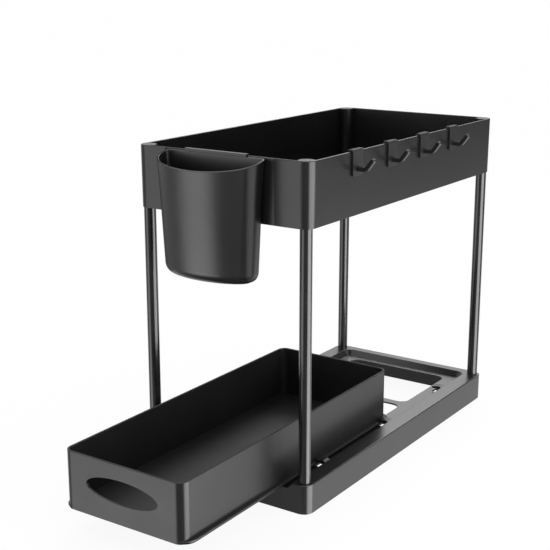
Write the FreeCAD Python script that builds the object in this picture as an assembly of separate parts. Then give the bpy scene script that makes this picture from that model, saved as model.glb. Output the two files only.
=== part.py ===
import FreeCAD, Part
import math
import os

Vector = FreeCAD.Vector

# Two-tier under-sink organizer. The frame's origin is the middle of the base's footprint on the
# surface it stands on: +X is to the right, +Y to the back, +Z up. The drawer pulls out along -Y.
# All lengths are in millimetres.

# Stand: the four posts carry the tray over the base
total_height = 310.0
post_spacing_x = 166.8
post_spacing_y = 343.2
post_diameter = 10.8
post_wall = 1.0
socket_play = 0.05

# Base moulding: an open-bottomed shell with raised borders round a drawer track
base_height = 27.6
base_side = 8.3
base_corner = 9.6
base_wall = 2.4
base_edge_round = 0.9
deck_height = 22.0
deck_plate = 1.8
bevel_run = 5.2
track_corner = 4.0
track_edge_round = 0.8
track_wall_share = 0.15
track_border_share = 0.12
rear_border = 10.0
window_count = 3
window_rib = 8.7
window_corner = 9.5
side_strip = 13.0
rear_strip = 7.4
front_strip = 35.5
base_socket_wall = 2.4
base_socket_floor = 2.0

# Tabs on the borders that hold the drawer's flange down
tab_count = 3
tab_pitch = 117.5
tab_middle = -3.5
tab_length = 8.0
tab_side_play = 2.2
tab_play = 0.4
tab_thickness = 1.7
tab_rise = 1.2
tab_back = 2.5
tab_root = 1.0
tab_slot_margin = 0.8

# Foot pads set into the bottoms of the base's corner sockets
foot_radius = 6.2
foot_thickness = 2.0
foot_proud = 0.6
foot_round = 0.5

# Tray moulding
tray_height = 56.3
tray_side = 7.5
tray_corner = 9.6
boss_wall = 2.2
tray_wall = 2.2
tray_floor = 2.4
tray_draft = 0.4
tray_socket_depth = 40.0
tray_edge_round = 0.8

# Drawer moulding
drawer_width = 126.0
drawer_length = 327.9
drawer_height = 52.4
drawer_wall = 2.0
drawer_floor = 2.2
drawer_corner = 8.5
drawer_edge_round = 0.7
drawer_play = 0.3
flange_width = 4.0
flange_thickness = 3.0
flange_round = 1.3
side_play = 3.6
rear_play = 0.6
drawer_pull = 147.3
handle_width = 76.0
handle_height = 21.6
handle_centre_height = 28.2

# Clips of the hooks and the cup, which hang over the tray's rim
clip_play = 0.35
clip_rest_gap = 0.3

# Hooks on the right-hand rim
hook_count = 4
hook_pitch = 62.0
hook_first = -104.5
hook_width = 16.8
hook_plate = 1.5
hook_drop = 21.5
hook_leg = 14.0
hook_fold_round = 1.3
hook_corner = 3.0
peg_drop = 15.3
peg_width = 4.6
peg_thickness = 4.0
peg_reach = 8.4
peg_slant_length = 11.8
peg_angle = 53.0
peg_bend_round = 1.6
peg_tip_round = 1.5
peg_edge_round = 0.9

# Hanging cup on the front rim, a half oval with its flat back to the tray
cup_offset = -3.2
cup_rim_half_width = 51.8
cup_rim_depth = 37.0
cup_foot_half_width = 46.1
cup_foot_depth = 31.2
cup_side_run = 8.2
cup_flare = 1.0
cup_lip_share = 0.7
cup_level_shares = (0, 0.4, 0.7, 0.85, 1)
cup_drop = 106.6
cup_rim_fall = 10.2
cup_wall = 2.0
cup_foot_round = 10.5
cup_back_round = 4.5
cup_below_rim = 0.7
cup_rim_round = 0.6
cup_clip_width = 65.0
cup_clip_plate = 1.0
cup_clip_leg = 16.0
cup_clip_round = 0.9

# Cuts run past the faces that they open by the overrun, and edges closer than touch count as level
overrun = 5.0
touch = 0.01

# Places worked out from the sizes above
post_x = post_spacing_x / 2
post_y = post_spacing_y / 2
post_radius = post_diameter / 2
base_half_x = post_x + base_side
base_half_y = post_y + base_side
tray_half_x = post_x + tray_side
tray_half_y = post_y + tray_side
tray_bottom = total_height - tray_height
socket_radius = post_radius + socket_play
post_foot = foot_thickness + base_socket_floor
post_top = tray_bottom + tray_socket_depth
track_half_x = drawer_width / 2 + flange_width + side_play
bevel_slope = bevel_run / (base_height - deck_height)
bevel_angle = math.atan2(base_height - deck_height, bevel_run)
plate_shift = deck_plate * math.tan(bevel_angle / 2)
border_edge_x = track_half_x + bevel_run
tab_nose = drawer_width / 2 + tab_side_play
track_rear = base_half_y - rear_border - bevel_run
drawer_bottom = deck_height + drawer_play
drawer_top = drawer_bottom + drawer_height
flange_top = drawer_bottom + flange_thickness
drawer_rear = track_rear - rear_play - flange_width - drawer_pull
drawer_front = drawer_rear - drawer_length
clip_rest = total_height + clip_rest_gap
cup_back = -tray_half_y - clip_play
cup_rim = total_height - cup_below_rim
cup_foot = cup_rim - cup_drop


def rounded_polygon(points, radii):
    """Closed wire through flat corner points, each corner an arc of its own radius (0 leaves it sharp)."""
    count = len(points)
    ends = []
    for i in range(count):
        corner, radius = points[i], radii[i]
        to_last = (points[i - 1] - corner).normalize()
        to_next = (points[(i + 1) % count] - corner).normalize()
        if radius == 0:
            ends.append((corner, None, corner))
            continue
        half_angle = to_last.getAngle(to_next) / 2
        reach = radius / math.tan(half_angle)
        inward = (to_last + to_next).normalize()
        bulge = corner + inward * (radius / math.sin(half_angle) - radius)
        ends.append((corner + to_last * reach, bulge, corner + to_next * reach))
    edges = []
    for i in range(count):
        start, bulge, end = ends[i]
        if bulge is not None:
            edges.append(Part.Arc(start, bulge, end).toShape())
        edges.append(Part.LineSegment(end, ends[(i + 1) % count][0]).toShape())
    return Part.Wire(edges)


def rounded_rectangle(x_low, x_high, y_low, y_high, front_radius, rear_radius, z):
    """Level rectangle at height z whose two front and two rear corners have their own radius."""
    corners = [(x_low, y_low), (x_high, y_low), (x_high, y_high), (x_low, y_high)]
    radii = [front_radius, front_radius, rear_radius, rear_radius]
    return rounded_polygon([Vector(x, y, z) for x, y in corners], radii)


def centred_rectangle(half_x, half_y, radius, z):
    return rounded_rectangle(-half_x, half_x, -half_y, half_y, radius, radius, z)


def prism(wire, height):
    return Part.Face(wire).extrude(Vector(0, 0, height))


def strip(points, radii, run):
    """Solid with a flat outline of rounded corners, carried along the vector run."""
    return Part.Face(rounded_polygon(points, radii)).extrude(run)


def cylinder(radius, x, y, z_low, z_high):
    return Part.makeCylinder(radius, z_high - z_low, Vector(x, y, z_low))


def box(x_low, x_high, y_low, y_high, z_low, z_high):
    return Part.makeBox(x_high - x_low, y_high - y_low, z_high - z_low, Vector(x_low, y_low, z_low))


def mirrored(shape):
    """The same shape on the other side of the organizer's middle plane."""
    return shape.mirror(Vector(0, 0, 0), Vector(1, 0, 0))


def level_edges(shape, z):
    """Edges of a shape that lie wholly at one height."""
    return [e for e in shape.Edges if max(abs(e.BoundBox.ZMin - z), abs(e.BoundBox.ZMax - z)) < touch]


def post_places():
    """Name and axis of each corner post."""
    sides = (("left", -post_x), ("right", post_x))
    ends = (("front", -post_y), ("rear", post_y))
    return [(f"{end}_{side}", x, y) for end, y in ends for side, x in sides]


# Base
def track_space(level, shift, z_low, z_high):
    """Space over the drawer track: level floor, side and rear walls sloping out, open to the front.

    At the height level its half width is that of the track plus shift, and it widens upwards.
    """
    wires = []
    for z in (z_low, z_high):
        grow = shift + bevel_slope * (z - level)
        wires.append(rounded_rectangle(-track_half_x - grow, track_half_x + grow, -base_half_y - overrun,
                                       track_rear + grow, 0, track_corner + grow, z))
    return Part.makeLoft(wires, True, True)


def base_shell():
    """Skirt, borders and deck as one wall of plastic, hollow and open underneath."""
    outside = centred_rectangle(base_half_x, base_half_y, base_corner, foot_proud)
    block = prism(outside, base_height - foot_proud)
    block = block.makeFillet(base_edge_round, level_edges(block, base_height))
    track = track_space(deck_height, 0, deck_height, base_height + overrun)
    under_deck = track_space(deck_height - deck_plate, plate_shift, deck_height - deck_plate, base_height)
    inside_corner = base_corner - base_wall
    inside = centred_rectangle(base_half_x - base_wall, base_half_y - base_wall, inside_corner, -overrun)
    hollow = prism(inside, base_height - deck_plate + overrun).cut(under_deck)
    shell = block.cut(track)
    reach = border_edge_x + touch
    top = level_edges(shell, base_height)
    track_edges = [e for e in top if e.BoundBox.XMin > -reach and e.BoundBox.XMax < reach]
    # The rounding stays within the low track wall and the border beside it
    wall_limit = track_wall_share * (base_height - deck_height)
    border_limit = track_border_share * (base_half_x - border_edge_x)
    edge_round = min(track_edge_round, wall_limit, border_limit)
    return shell.makeFillet(edge_round, track_edges).cut(hollow)


def base_windows():
    """Row of rounded windows through the deck, with ribs between them."""
    first = -base_half_y + front_strip
    room = track_rear - rear_strip - first
    length = (room - window_rib * (window_count - 1)) / window_count
    half_x = track_half_x - side_strip
    windows = []
    for i in range(window_count):
        low = first + i * (length + window_rib)
        outline = rounded_rectangle(-half_x, half_x, low, low + length, window_corner, window_corner, 0)
        windows.append(prism(outline, deck_height + overrun))
    return windows


def tab_places():
    return [tab_middle + (i - (tab_count - 1) / 2) * tab_pitch for i in range(tab_count)]


def track_tab(y):
    """Finger that springs from the border's edge and reaches in over the drawer's flange."""
    under = flange_top + tab_play
    root = border_edge_x + tab_root
    profile = [(tab_nose, under), (root, under), (root, base_height), (border_edge_x, base_height),
               (border_edge_x - tab_back, base_height + tab_rise), (tab_nose, under + tab_thickness)]
    low = y - tab_length / 2
    return strip([Vector(x, low, z) for x, z in profile], [0] * len(profile), Vector(0, tab_length, 0))


def tab_slot(y):
    """Opening straight below a tab, where the mould closed off its underside."""
    half = tab_length / 2 + tab_slot_margin
    return box(tab_nose, border_edge_x, y - half, y + half, 0, base_height + overrun)


def base_frame():
    shell = base_shell().cut(base_windows())
    slots = [tab_slot(y) for y in tab_places()]
    tabs = [track_tab(y) for y in tab_places()]
    shell = shell.cut(slots + [mirrored(s) for s in slots])
    sockets = [cylinder(socket_radius + base_socket_wall, x, y, foot_proud, base_height - deck_plate)
               for _, x, y in post_places()]
    frame = shell.fuse(tabs + [mirrored(t) for t in tabs] + sockets)
    seats = [cylinder(foot_radius, x, y, -overrun, foot_thickness) for _, x, y in post_places()]
    bores = [cylinder(socket_radius, x, y, post_foot, base_height + overrun) for _, x, y in post_places()]
    return frame.cut(seats + bores).removeSplitter()


def foot_pad(x, y):
    pad = cylinder(foot_radius - socket_play, x, y, 0, foot_thickness)
    return pad.makeFillet(foot_round, level_edges(pad, 0))


# Posts
def post(x, y):
    tube = cylinder(post_radius, x, y, post_foot, post_top)
    return tube.cut(cylinder(post_radius - post_wall, x, y, post_foot - overrun, post_top + overrun))


# Tray
def tray_body(inset, z_low, z_high):
    """Tapered block with the tray's outline, drawn in by inset all round."""
    wires = []
    for z in (z_low, z_high):
        draft = tray_draft * (total_height - z) / tray_height
        shrink = inset + draft
        wires.append(centred_rectangle(tray_half_x - shrink, tray_half_y - shrink, tray_corner - shrink, z))
    return Part.makeLoft(wires, True, True)


def upper_tray():
    block = tray_body(0, tray_bottom, total_height)
    space = tray_body(tray_wall, tray_bottom + tray_floor, total_height + overrun)
    boss_radius = socket_radius + boss_wall
    posts = post_places()
    bosses = [block.common(cylinder(boss_radius, x, y, tray_bottom, total_height)) for _, x, y in posts]
    sockets = [cylinder(socket_radius, x, y, tray_bottom - overrun, post_top) for _, x, y in posts]
    tray = block.cut(space).fuse(bosses).removeSplitter()
    tray = tray.makeFillet(tray_edge_round, level_edges(tray, total_height))
    return tray.cut(sockets)


# Drawer
def drawer_outline(inset, z):
    half_x = drawer_width / 2 - inset
    radius = drawer_corner - inset
    return rounded_rectangle(-half_x, half_x, drawer_front + inset, drawer_rear - inset, radius, radius, z)


def drawer_flange():
    """Lip round the foot of the drawer, flush with its front, with rounded edges."""
    half_x = drawer_width / 2 + flange_width
    radius = drawer_corner + flange_width
    rear = drawer_rear + flange_width
    outline = rounded_rectangle(-half_x, half_x, drawer_front, rear, radius, radius, drawer_bottom)
    lip = prism(outline, flange_thickness)
    return lip.makeFillet(flange_round, level_edges(lip, drawer_bottom) + level_edges(lip, flange_top))


def handle_hole():
    """Oval grip hole through the drawer's front."""
    centre = Vector(0, drawer_front - overrun, drawer_bottom + handle_centre_height)
    side = centre + Vector(handle_width / 2, 0, 0)
    crown = centre + Vector(0, 0, handle_height / 2)
    oval = Part.Wire([Part.Ellipse(side, crown, centre).toShape()])
    return Part.Face(oval).extrude(Vector(0, drawer_wall + overrun + drawer_corner, 0))


def drawer():
    block = prism(drawer_outline(0, drawer_bottom), drawer_height)
    space = prism(drawer_outline(drawer_wall, drawer_bottom + drawer_floor), drawer_height)
    box_walls = block.fuse(drawer_flange()).cut([space, handle_hole()]).removeSplitter()
    return box_walls.makeFillet(drawer_edge_round, level_edges(box_walls, drawer_top))


# Hooks
def clip_profile(face, inward, plate, drop, leg):
    """Corners (across, height) of a strip folded over the tray's rim, seen along the rim.

    face is the place of the wall's outer side and inward, 1 or -1, points from it into the tray.
    """
    outer = face - inward * clip_play
    inner = face + inward * (tray_wall + clip_play)
    top = clip_rest + plate
    foot = total_height - drop
    end = total_height - leg
    outside = outer - inward * plate
    inside = inner + inward * plate
    return [(outside, foot), (outside, top), (inside, top), (inside, end),
            (inner, end), (inner, clip_rest), (outer, clip_rest), (outer, foot)]


def peg_profile(root, elbow, middle):
    """Corners (x, height) of a bar that runs out to the elbow and there turns up and out."""
    slant = math.radians(peg_angle)
    half = peg_thickness / 2
    mitre = half * math.tan(slant / 2)
    tip_x = elbow + peg_slant_length * math.cos(slant)
    tip_z = middle + peg_slant_length * math.sin(slant)
    side_x = half * math.sin(slant)
    side_z = half * math.cos(slant)
    return [(root, middle - half), (elbow + mitre, middle - half), (tip_x + side_x, tip_z - side_z),
            (tip_x - side_x, tip_z + side_z), (elbow - mitre, middle + half), (root, middle + half)]


def hook_peg(y):
    """Square bar with soft edges that carries what hangs on the hook."""
    plate_face = tray_half_x + clip_play + hook_plate
    root = plate_face - hook_plate / 2
    low = y - peg_width / 2
    profile = peg_profile(root, plate_face + peg_reach, total_height - peg_drop)
    radii = [0, peg_bend_round + peg_thickness, peg_tip_round, peg_tip_round, peg_bend_round, 0]
    bar = strip([Vector(x, low, z) for x, z in profile], radii, Vector(0, peg_width, 0))
    rims = [e for e in bar.Edges if e.BoundBox.YLength < touch and e.BoundBox.XMax > root + touch]
    return bar.makeFillet(peg_edge_round, rims)


def hook(y):
    """Clip over the right-hand rim with its peg."""
    low = y - hook_width / 2
    profile = clip_profile(tray_half_x, -1, hook_plate, hook_drop, hook_leg)
    radii = [0, hook_fold_round, hook_fold_round, 0, 0, 0, 0, 0]
    clip = strip([Vector(x, low, z) for x, z in profile], radii, Vector(0, hook_width, 0))
    corners = [e for e in level_edges(clip, total_height - hook_drop) if e.BoundBox.YLength < touch]
    clip = clip.makeFillet(hook_corner, corners)
    return clip.fuse(hook_peg(y)).removeSplitter()


# Cup
def half_oval(half_width, depth, z):
    """Level outline at height z: a straight back, short straight sides and a half-oval front."""
    middle = Vector(cup_offset, cup_back - cup_side_run, z)
    right = middle + Vector(half_width, 0, 0)
    left = middle - Vector(half_width, 0, 0)
    run = Vector(0, cup_side_run, 0)
    oval = Part.Ellipse(right, middle - Vector(0, depth - cup_side_run, 0), middle)
    straight = [(left, left + run), (left + run, right + run), (right + run, right)]
    lines = [Part.LineSegment(start, end).toShape() for start, end in straight]
    return Part.Wire([Part.ArcOfEllipse(oval, 0, math.pi).toShape()] + lines)


def cup_block(inset, z_low, z_high):
    """Cup's tapered form with a flared lip, drawn in by inset at its sides and front, its foot rounded."""
    wires = []
    for level in cup_level_shares:
        z = z_low + (z_high - z_low) * level
        share = (z - cup_foot) / cup_drop
        lip = max(0, (share - cup_lip_share) / (1 - cup_lip_share))
        grow = cup_flare * lip ** 2 - inset
        half_width = cup_foot_half_width + (cup_rim_half_width - cup_foot_half_width) * share + grow
        depth = cup_foot_depth + (cup_rim_depth - cup_foot_depth) * share + grow
        wires.append(half_oval(half_width, depth, z))
    block = Part.makeLoft(wires, True)
    bow = [e for e in level_edges(block, z_low) if e.BoundBox.YLength > touch]
    return block.makeFillet(cup_foot_round - inset, bow)


def above_cup_rim():
    """Space over the rim's sloping plane, which falls towards the front."""
    slope = cup_rim_fall / cup_rim_depth
    half = cup_rim_half_width + overrun
    left = cup_offset - half
    rear = cup_back + overrun
    front = cup_back - cup_rim_depth - overrun
    top = total_height + cup_drop
    points = [Vector(left, rear, cup_rim + slope * overrun),
              Vector(left, front, cup_rim - slope * (cup_back - front)),
              Vector(left, front, top), Vector(left, rear, top)]
    return strip(points, [0] * len(points), Vector(half * 2, 0, 0))


def cup_clip():
    """Tongue of the cup's back, folded over the tray's front rim."""
    left = cup_offset - cup_clip_width / 2
    profile = clip_profile(-tray_half_y, 1, cup_clip_plate, cup_clip_leg, cup_clip_leg)
    radii = [0, cup_clip_round, cup_clip_round, 0, 0, 0, 0, 0]
    return strip([Vector(left, y, z) for y, z in profile], radii, Vector(cup_clip_width, 0, 0))


def back_corners(shape):
    """The two tall edges at the flat back of a cup's form."""
    return [e for e in shape.Edges if e.BoundBox.YLength < touch and e.BoundBox.ZLength > cup_drop / 2]


def hanging_cup():
    block = cup_block(0, cup_foot, total_height)
    block = block.makeFillet(cup_back_round, back_corners(block))
    space = cup_block(cup_wall, cup_foot + cup_wall, total_height + overrun)
    back_wall = box(cup_offset - cup_rim_half_width, cup_offset + cup_rim_half_width, cup_back - cup_wall,
                    cup_back + overrun, cup_foot, total_height + overrun)
    space = space.cut(back_wall)
    space = space.makeFillet(cup_back_round - cup_wall, back_corners(space))
    shell = block.cut(space).cut(above_cup_rim())
    rim = max(shell.Faces, key=lambda face: face.CenterOfMass.z)
    shell = shell.makeFillet(cup_rim_round, rim.Edges)
    return shell.fuse(cup_clip()).removeSplitter()


# One file for each piece
pieces = {"base_frame": base_frame(), "upper_tray": upper_tray()}
pieces["drawer"] = drawer()
pieces["hanging_cup"] = hanging_cup()
for place, x, y in post_places():
    pieces[f"post_{place}"] = post(x, y)
    pieces[f"foot_pad_{place}"] = foot_pad(x, y)
for i in range(hook_count):
    pieces[f"hook_{i + 1}"] = hook(hook_first + i * hook_pitch)

os.makedirs("parts", exist_ok=True)
for name, shape in pieces.items():
    shape.exportStep(f"parts/{name}.step")
    print(name, "valid" if shape.isValid() else "not valid", len(shape.Solids), round(shape.Volume), "mm3")
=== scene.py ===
# %% [markdown]
# This lesson dresses a two-level organizer: a low base with a pull-out drawer, four round
# posts, an open tray, a cup on the front rim and hooks along the side rim. The pieces could be
# modelled again here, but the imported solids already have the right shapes. So they stay, and
# the work goes into finishes, light and camera. Everything is in metres, with +Z up and the
# drawer pulling out along -Y.

# %% Frame
import math

import bpy
import numpy as np
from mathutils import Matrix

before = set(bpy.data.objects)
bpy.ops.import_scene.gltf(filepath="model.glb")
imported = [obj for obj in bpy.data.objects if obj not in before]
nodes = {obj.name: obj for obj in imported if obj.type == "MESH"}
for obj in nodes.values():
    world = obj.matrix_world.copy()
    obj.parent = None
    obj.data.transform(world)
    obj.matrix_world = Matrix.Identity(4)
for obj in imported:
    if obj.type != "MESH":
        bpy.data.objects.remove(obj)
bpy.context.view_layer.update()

print("pieces in the frame:", sorted(nodes))

# %% [markdown]
# A finish is a sum of patterns, and sums are easier to read as Python than as boxes and
# lines. One small class holds a socket of a node tree. Plus, minus and times on it add a
# Math node, and one method adds any other node, so that a whole finish reads as a few formulas.

# %% Sums on shader sockets
class Wire:
    """One output socket of a node tree, which Python's operators can do sums with."""

    def __init__(self, tree, socket=None):
        self.tree = tree
        self.socket = socket

    def add(self, kind, settings=None, sockets=None, output=0):
        """A node of any kind: its settings first, then the values or wires of its sockets."""
        node = self.tree.nodes.new(kind)
        for name, value in (settings or {}).items():
            setattr(node, name, value)
        for key, value in (sockets or {}).items():
            if isinstance(value, Wire):
                self.tree.links.new(value.socket, node.inputs[key])
            else:
                node.inputs[key].default_value = value
        return Wire(self.tree, node.outputs[output] if node.outputs else None)

    def math(self, operation, *terms):
        """A Math node on these terms, which are wires or plain numbers."""
        return self.add("ShaderNodeMath", {"operation": operation}, dict(enumerate(terms)))

    def __add__(self, other):
        return self.math("ADD", self, other)

    def __sub__(self, other):
        return self.math("SUBTRACT", self, other)

    def __mul__(self, other):
        return self.math("MULTIPLY", self, other)

    def __rsub__(self, other):
        return self.math("SUBTRACT", other, self)

    __radd__ = __add__
    __rmul__ = __mul__

    def fade(self, low, high):
        """0 below low, 1 above high, and an S-shaped rise between them; low may be the larger."""
        sockets = {"Value": self, "From Min": low, "From Max": high}
        return self.add("ShaderNodeMapRange", {"interpolation_type": "SMOOTHSTEP"}, sockets)

    def tint(self, dark, light):
        """The colour dark where this wire is 0 and the colour light where it is 1."""
        return self.add("ShaderNodeMix", {"data_type": "RGBA"}, {0: self, 6: dark, 7: light}, 2)

    def dot(self, other):
        """How far two directions agree: 1 along each other, 0 across."""
        return self.add("ShaderNodeVectorMath", {"operation": "DOT_PRODUCT"}, {0: self, 1: other}, "Value")


print("sums on sockets are ready")

# %% Starting and ending a material
def grey(level):
    """A neutral colour with this much of each primary."""
    return (level, level, level, 1.0)


def empty_tree(owner):
    """The owner's node tree with nothing in it yet."""
    owner.use_nodes = True
    owner.node_tree.nodes.clear()
    return Wire(owner.node_tree)


def new_material(name):
    """A material with nothing in it, and the wire that its nodes are made on."""
    material = bpy.data.materials.new(name)
    return material, empty_tree(material)


def show(make, shader):
    """This shader becomes the surface of its material."""
    make.add("ShaderNodeOutputMaterial", {}, {"Surface": shader})


print("a mid grey is", grey(0.5))

# %% [markdown]
# The mouldings are black plastic with a satin face: smooth enough to show soft reflections
# of the room, and slightly uneven where hands and the mould have polished it. Painted pictures
# could show that, but patterns from noise have no seams and hold up close. Every pattern reads
# the place on the piece itself, in metres, so that its size is a real one. A Bevel node finds
# the edges, which handling leaves a little lighter and smoother than the faces.

# %% Patterns on a moulded face
edge_samples = 6
edge_turn = (0.02, 0.22)
up_slope = (0.7, 0.95)
fine_detail = 4.0


def own_place(make):
    """Where a point lies on its own piece, in metres."""
    return make.add("ShaderNodeTexCoord", output="Object")


def pattern(place, size, detail=2.0):
    """Soft clouds with blobs about this many metres across, from 0 to 1."""
    return place.add("ShaderNodeTexNoise", {}, {"Vector": place, "Scale": 1.0 / size, "Detail": detail})


def face_normal(make):
    """The direction that the surface faces."""
    return make.add("ShaderNodeNewGeometry", output="Normal")


def worn_edges(make, radius):
    """1 along sharp edges and 0 on open faces, from how far rounding the edge turns the normal."""
    rounded = make.add("ShaderNodeBevel", {"samples": edge_samples}, {"Radius": radius})
    return (1.0 - rounded.dot(face_normal(make))).fade(*edge_turn)


def facing_up(make):
    """1 on faces that look straight up, and 0 on walls and steep slopes."""
    return face_normal(make).dot((0.0, 0.0, 1.0)).fade(*up_slope)


print("edges are found with", edge_samples, "samples")

# %% [markdown]
# The plastic itself has slow clouds in its colour, smudges in its gloss and a fine grain from
# the mould in its bump. The base reflects a little more than the tray, as a harder plastic
# does, and the drawer's bottom and the hooks' tops are rubbed dull, so each moulding gets its
# own copy of the finish instead of one that they all share.

# %% Satin black plastic
plastic_black = 0.009
cloud_size = 0.06
cloud_contrast = (0.3, 0.7)
cloud_swing = 0.1
smudge_size = 0.018
smudge_gloss = 0.08
grain_size = 0.0005
grain_gloss = 0.04
grain_depth = 0.00004
grain_strength = 0.12
edge_radius = 0.0012
edge_wear = 0.6
edge_polish = 0.06
worn_black = plastic_black * 2.2


def satin_black(name, roughness, index, up_roughness=0.0):
    """Moulded plastic: its roughness plus smudges and grain, less wear, plus more on faces looking up."""
    material, make = new_material(name)
    place = own_place(make)
    smudges = pattern(place, smudge_size, fine_detail)
    grain = pattern(place, grain_size)
    edges = worn_edges(make, edge_radius)
    clouds = pattern(place, cloud_size).fade(*cloud_contrast)
    body = clouds.tint(grey(plastic_black * (1.0 - cloud_swing)), grey(plastic_black * (1.0 + cloud_swing)))
    colour = (edges * edge_wear).tint(body, grey(worn_black))
    gloss = roughness + (smudges - 0.5) * smudge_gloss + (grain - 0.5) * grain_gloss - edges * edge_polish
    if up_roughness:
        gloss = gloss + facing_up(make) * up_roughness
    depth = {"Strength": grain_strength, "Distance": grain_depth, "Height": grain}
    bump = make.add("ShaderNodeBump", {}, depth)
    sockets = {"Base Color": colour, "Roughness": gloss, "Normal": bump, "IOR": index}
    show(make, make.add("ShaderNodeBsdfPrincipled", {}, sockets))
    return material


print("blobs of the grain are", grain_size * 1000, "mm across")

# %% Plastic pieces
def dress(names, material):
    """These nodes get this material in place of what they had."""
    for name in names:
        slots = nodes[name].data.materials
        slots.clear()
        slots.append(material)


hook_count = 4
hooks = [f"hook_{i + 1}" for i in range(hook_count)]
dress(["base_frame"], satin_black("base_plastic", roughness=0.3, index=1.6))
dress(["upper_tray"], satin_black("tray_plastic", roughness=0.25, index=1.5))
dress(["drawer"], satin_black("drawer_plastic", roughness=0.3, index=1.5, up_roughness=0.3))
dress(["hanging_cup"], satin_black("cup_plastic", roughness=0.3, index=1.65))
dress(hooks, satin_black("hook_plastic", roughness=0.3, index=1.65, up_roughness=0.4))
print("plastic on base, tray, drawer, cup and", hook_count, "hooks")

# %% [markdown]
# The posts are thin steel tubes with a gloss black coat. The coat flows before it hardens,
# which leaves a faint waviness, so their bump is broad and shallow instead of grainy. A clear
# coat over a dark base could give the gloss too, but one smooth layer reflects the same.

# %% Coated tube
corners = ["front_left", "front_right", "rear_left", "rear_right"]
wave_size = 0.004
wave_depth = 0.0001
wave_strength = 0.1
tube_black, tube_smudge_black = 0.006, 0.009
tube_roughness = 0.16
tube_smudge_size = 0.03
tube_smudge_gloss = 0.08
tube_index = 1.65


def coated_tube(name):
    """Gloss black coat: dark, smooth, with shallow waves a few millimetres across."""
    material, make = new_material(name)
    place = own_place(make)
    waves = pattern(place, wave_size)
    smudges = pattern(place, tube_smudge_size, fine_detail)
    colour = smudges.fade(*cloud_contrast).tint(grey(tube_black), grey(tube_smudge_black))
    gloss = tube_roughness + smudges * tube_smudge_gloss
    depth = {"Strength": wave_strength, "Distance": wave_depth, "Height": waves}
    bump = make.add("ShaderNodeBump", {}, depth)
    sockets = {"Base Color": colour, "Roughness": gloss, "Normal": bump, "IOR": tube_index}
    show(make, make.add("ShaderNodeBsdfPrincipled", {}, sockets))
    return material


dress([f"post_{corner}" for corner in corners], coated_tube("tube_coat"))
print("coat on", len(corners), "posts")

# %% [markdown]
# Four rubber pads sit under the corners. Rubber is dull and slightly dusty, so it is rough
# all over, with a grain coarse enough to see when the stand is turned up.

# %% Rubber pads
dust_size = 0.003
dust_contrast = (0.4, 0.8)
dust_dullness = 0.2
rubber_black, dusty_black = 0.018, 0.04
rubber_roughness = 0.75
rubber_grain_size = 0.0006
rubber_grain_depth = 0.00008
rubber_grain_strength = 0.3


def dull_rubber(name):
    """Dark rubber: no gloss, dusty clouds and a coarse grain."""
    material, make = new_material(name)
    place = own_place(make)
    dust = pattern(place, dust_size, fine_detail)
    grain = pattern(place, rubber_grain_size)
    colour = dust.fade(*dust_contrast).tint(grey(rubber_black), grey(dusty_black))
    gloss = rubber_roughness + dust * dust_dullness
    depth = {"Strength": rubber_grain_strength, "Distance": rubber_grain_depth, "Height": grain}
    bump = make.add("ShaderNodeBump", {}, depth)
    sockets = {"Base Color": colour, "Roughness": gloss, "Normal": bump}
    show(make, make.add("ShaderNodeBsdfPrincipled", {}, sockets))
    return material


dress([f"foot_pad_{corner}" for corner in corners], dull_rubber("pad_rubber"))
print("rubber on", len(corners), "pads")

# %% [markdown]
# The camera stands in front of the right-hand corner, a little above the tray, and looks
# slightly down. It could be placed by eye, but a stand this straight shows every wrong angle, so
# its place, turn and lens were worked out from the straight edges of the stand.

# %% Camera
camera_place = (0.58265, -0.95397, 0.45518)
camera_tilt = math.radians(75.427)
camera_turn = math.radians(34.128)
camera_lens = 75.63

view = bpy.data.cameras.new("view")
view.lens = camera_lens
camera = bpy.data.objects.new("view", view)
camera.location = camera_place
camera.rotation_euler = (camera_tilt, 0.0, camera_turn)
bpy.context.scene.collection.objects.link(camera)
bpy.context.scene.camera = camera
print("camera at", camera_place)

# %% [markdown]
# Black plastic is mostly reflections: its greys are the pale things of the studio around it.
# Such a studio could be built from boards and lamps. Painting it on the world is simpler,
# because each light is then one product: how near a direction is to the light's compass turn,
# seen from above, times how near it is to the light's height.

# %% Directions in the studio
def toward(direction, turn):
    """Cosine of the angle, seen from above, between a direction and this compass turn in degrees."""
    level = direction.add("ShaderNodeVectorMath", {"operation": "MULTIPLY"},
                          {0: direction, 1: (1.0, 1.0, 0.0)})
    level = direction.add("ShaderNodeVectorMath", {"operation": "NORMALIZE"}, {0: level})
    angle = math.radians(turn)
    return level.dot((math.cos(angle), math.sin(angle), 0.0))


def soft_box(direction, turn, inner, outer):
    """1 within inner degrees of the turn, seen from above, and 0 beyond outer degrees."""
    edge = math.cos(math.radians(outer))
    core = math.cos(math.radians(inner))
    return toward(direction, turn).fade(edge, core)


def band(height, foot, full_from, full_to, top):
    """1 between the two full heights, fading to 0 at the foot below them and at the top above."""
    return height.fade(foot, full_from) * height.fade(top, full_to)


print("turns are counted from +X towards +Y")

# %% Studio world
world = bpy.data.worlds.new("studio")
bpy.context.scene.world = world
make = empty_tree(world)
direction = make.add("ShaderNodeTexCoord", output="Generated")
height = make.add("ShaderNodeSeparateXYZ", {}, {"Vector": direction}, "Z")
print("heights in the studio run from -1, straight down, to 1, straight up")

# %% [markdown]
# Overhead is a pale tent, brightest at its ceiling. A dark flag hangs in it at the back right,
# which keeps the rounded edges between the top and right-hand faces dark. A strip of light above
# the back gives the base's top its sheen, and a soft glow behind lifts the rims.

# %% Tent and lights above
tent_white = 0.55
tent_rise = (-0.05, 0.2)
ceiling_white = 0.7
ceiling_rise = (0.6, 0.9)
room_grey = 0.02
flag_shade = 0.85
top_box_white = 4.5
back_glow_white = 0.25
back_glow_rise = (0.0, 0.12)

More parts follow.
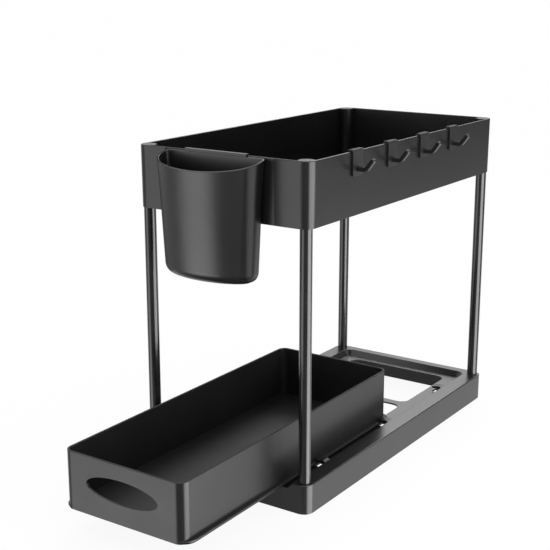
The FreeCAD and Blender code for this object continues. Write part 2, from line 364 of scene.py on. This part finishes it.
flag = 1.0 - soft_box(direction, turn=70.0, inner=8.0, outer=30.0) * flag_shade
tent = height.fade(*tent_rise) * flag * tent_white + height.fade(*ceiling_rise) * ceiling_white + room_grey
top_band = band(height, foot=0.38, full_from=0.48, full_to=0.65, top=0.75)
top_box = soft_box(direction, turn=107.0, inner=10.0, outer=26.0) * top_band * top_box_white
back_part = soft_box(direction, turn=126.0, inner=25.0, outer=55.0)
back_glow = back_part * height.fade(*back_glow_rise) * back_glow_white
print("tent of white", tent_white, "with a ceiling of", tent_white + ceiling_white)

# %% [markdown]
# Lower down, a strong box at the front left gives the drawer's front, the tray's front and the
# cup their main grey, and is brighter near the floor. Weak fills at the left and the front keep
# the other walls from going black. The floor is left out of reflections further on, so its own
# pale glow is painted here, towards the back.

# %% Lights beside the stand
left_box_white = 3.0
left_box_upper_share = 0.58
near_floor_fall = (-0.22, -0.46)
left_fill_white = 0.36
front_fill_white = 0.2
floor_glow_white = 0.95
floor_glow_fall = (-0.05, -0.36)

side_band = band(height, foot=-0.75, full_from=-0.5, full_to=0.2, top=0.45)
near_floor = height.fade(*near_floor_fall)
left_box_level = left_box_upper_share + near_floor * (1.0 - left_box_upper_share)
left_part = soft_box(direction, turn=-122.0, inner=6.0, outer=28.0)
left_box = left_part * side_band * left_box_level * left_box_white
left_fill = soft_box(direction, turn=178.0, inner=20.0, outer=50.0) * side_band * left_fill_white
front_fill = soft_box(direction, turn=-75.0, inner=30.0, outer=50.0) * side_band * front_fill_white
below = height.fade(*floor_glow_fall)
floor_glow = soft_box(direction, turn=104.0, inner=50.0, outer=82.0) * below * floor_glow_white

light = tent + left_box + left_fill + front_fill + back_glow + top_box + floor_glow
background = make.add("ShaderNodeBackground", {}, {"Color": grey(1.0), "Strength": light})
make.add("ShaderNodeOutputWorld", {}, {"Surface": background})
print("strongest light of the world:", top_box_white)

# %% [markdown]
# One light stands close by: a tall soft box on the right. The walls on that side all face the
# same way, and yet the tray's is darker than the base's and the drawer's. A light painted on
# the world is endlessly far away and would light them all alike, so this one is an area lamp.

# %% Soft box on the right
box_place = (0.75, -0.05, 0.0)
box_height = 0.9
box_width = 0.8
box_power = 12.0
quarter_turn = math.radians(90.0)

lamp = bpy.data.lights.new("right_soft_box", "AREA")
lamp.shape = "RECTANGLE"
lamp.size = box_height
lamp.size_y = box_width
lamp.energy = box_power
soft_lamp = bpy.data.objects.new("right_soft_box", lamp)
soft_lamp.location = box_place
soft_lamp.rotation_euler = (0.0, quarter_turn, 0.0)
soft_lamp.visible_camera = False
bpy.context.scene.collection.objects.link(soft_lamp)
print("soft box of", box_height * box_width, "square metres on the right")

# %% [markdown]
# The cup is round, so its sides catch narrow bright streaks that would outshine its front. A
# photographer hangs a net there: thin black cloth that lets part of the light through. Turning
# the lamp down would darken the walls as well, so three small nets stand close to the cup, one
# on its right and two of different length on its left, where they overlap and fade the edge.
# The camera doesn't see them, and they are tall enough for the cup when it is lifted.

# %% Sheets of the studio
def flat_sheet(name, points, material):
    """A sheet of the studio, not of the object: one face through four points round its edge."""
    mesh = bpy.data.meshes.new(name)
    mesh.from_pydata(np.array(points).tolist(), [], [(0, 1, 2, 3)])
    mesh.materials.append(material)
    sheet = bpy.data.objects.new(name, mesh)
    bpy.context.scene.collection.objects.link(sheet)
    return sheet


def black_net(name, back_end, front_end, low, high, lets_through):
    """An upright net: the line between two ends, seen from above, carried from low to high."""
    material, make = new_material(name)
    show(make, make.add("ShaderNodeBsdfTransparent", {}, {"Color": grey(lets_through)}))
    ends = np.array([back_end, front_end, front_end, back_end])
    net = flat_sheet(name, np.c_[ends, [low, low, high, high]], material)
    net.visible_camera = False
    net.visible_diffuse = False


print("sheets have 4 points each")

# %% Nets beside the cup
net_low = 0.19
net_high = 0.34
right_back, right_front = (0.0555, -0.18), (0.0465, -0.2025)
left_back, left_short_front = (-0.058, -0.1785), (-0.0595, -0.2)
left_outer_back, left_long_front = (-0.0585, -0.1785), (-0.06, -0.207)

black_net("cup_net", right_back, right_front, net_low, net_high, lets_through=0.2)
black_net("left_net_short", left_back, left_short_front, net_low, net_high, lets_through=0.35)
black_net("left_net_long", left_outer_back, left_long_front, net_low, net_high, lets_through=0.6)
print("nets are", net_high - net_low, "m tall")

# %% [markdown]
# The floor is a plain pale sheet that runs to the horizon. Most of its brightness towards the
# camera is its own white, and the rest is real light, so that the stand keeps a faint shadow.
# Reflections look through it into the studio, where its glow can be shaped.

# %% Floor
floor_reach = 40.0
floor_own_white = 0.92
paper_white = 0.9


def pale_floor(name):
    """White seen by the camera, and an ordinary pale surface to the light that bounces off it."""
    material, make = new_material(name)
    kinds = ("Is Camera Ray", "Is Glossy Ray", "Is Transmission Ray")
    rays = [make.add("ShaderNodeLightPath", output=kind) for kind in kinds]
    camera_ray, glossy_ray, clear_ray = rays
    seen = make.math("MAXIMUM", camera_ray, make.math("MAXIMUM", glossy_ray, clear_ray))
    paper = make.add("ShaderNodeBsdfDiffuse", {}, {"Color": grey(paper_white)})
    white = make.add("ShaderNodeEmission", {}, {"Color": grey(1.0), "Strength": 1.0})
    show(make, make.add("ShaderNodeMixShader", {}, {0: seen * floor_own_white, 1: paper, 2: white}))
    return material


corner_signs = np.array([(-1, -1, 0), (1, -1, 0), (1, 1, 0), (-1, 1, 0)])
floor = flat_sheet("floor", corner_signs * floor_reach, pale_floor("floor_white"))
floor.visible_glossy = False
floor.visible_shadow = False
print("floor reaches", floor_reach, "m each way")

# %% [markdown]
# Under the stand the real floor is in shade, and the lower walls mirror that shade. The painted
# glow knows nothing of it, so a dim sheet lies just under the floor, as long and wide as the
# stand with its drawer out. Only reflections see it.

# %% Shade under the stand
shade_white = 0.4
shade_depth = 0.0005
shade_left, shade_right = -0.09, 0.09
shade_front, shade_back = -0.31, 0.175


def dim_glow(name, white):
    """The same grey from every side, whatever light falls on it."""
    material, make = new_material(name)
    show(make, make.add("ShaderNodeEmission", {}, {"Color": grey(white), "Strength": 1.0}))
    return material


shade_x = [shade_left, shade_right, shade_right, shade_left]
shade_y = [shade_front, shade_front, shade_back, shade_back]
shade_z = np.full(len(shade_x), -shade_depth)
shade = flat_sheet("floor_shade", np.c_[shade_x, shade_y, shade_z], dim_glow("floor_shade", shade_white))
shade.visible_camera = False
shade.visible_diffuse = False
shade.visible_shadow = False
print("shade is", shade_right - shade_left, "m wide")

# %% [markdown]
# Colours are shown as they are written, with no film curve.

# %% Finish
bpy.context.scene.view_settings.view_transform = "Standard"
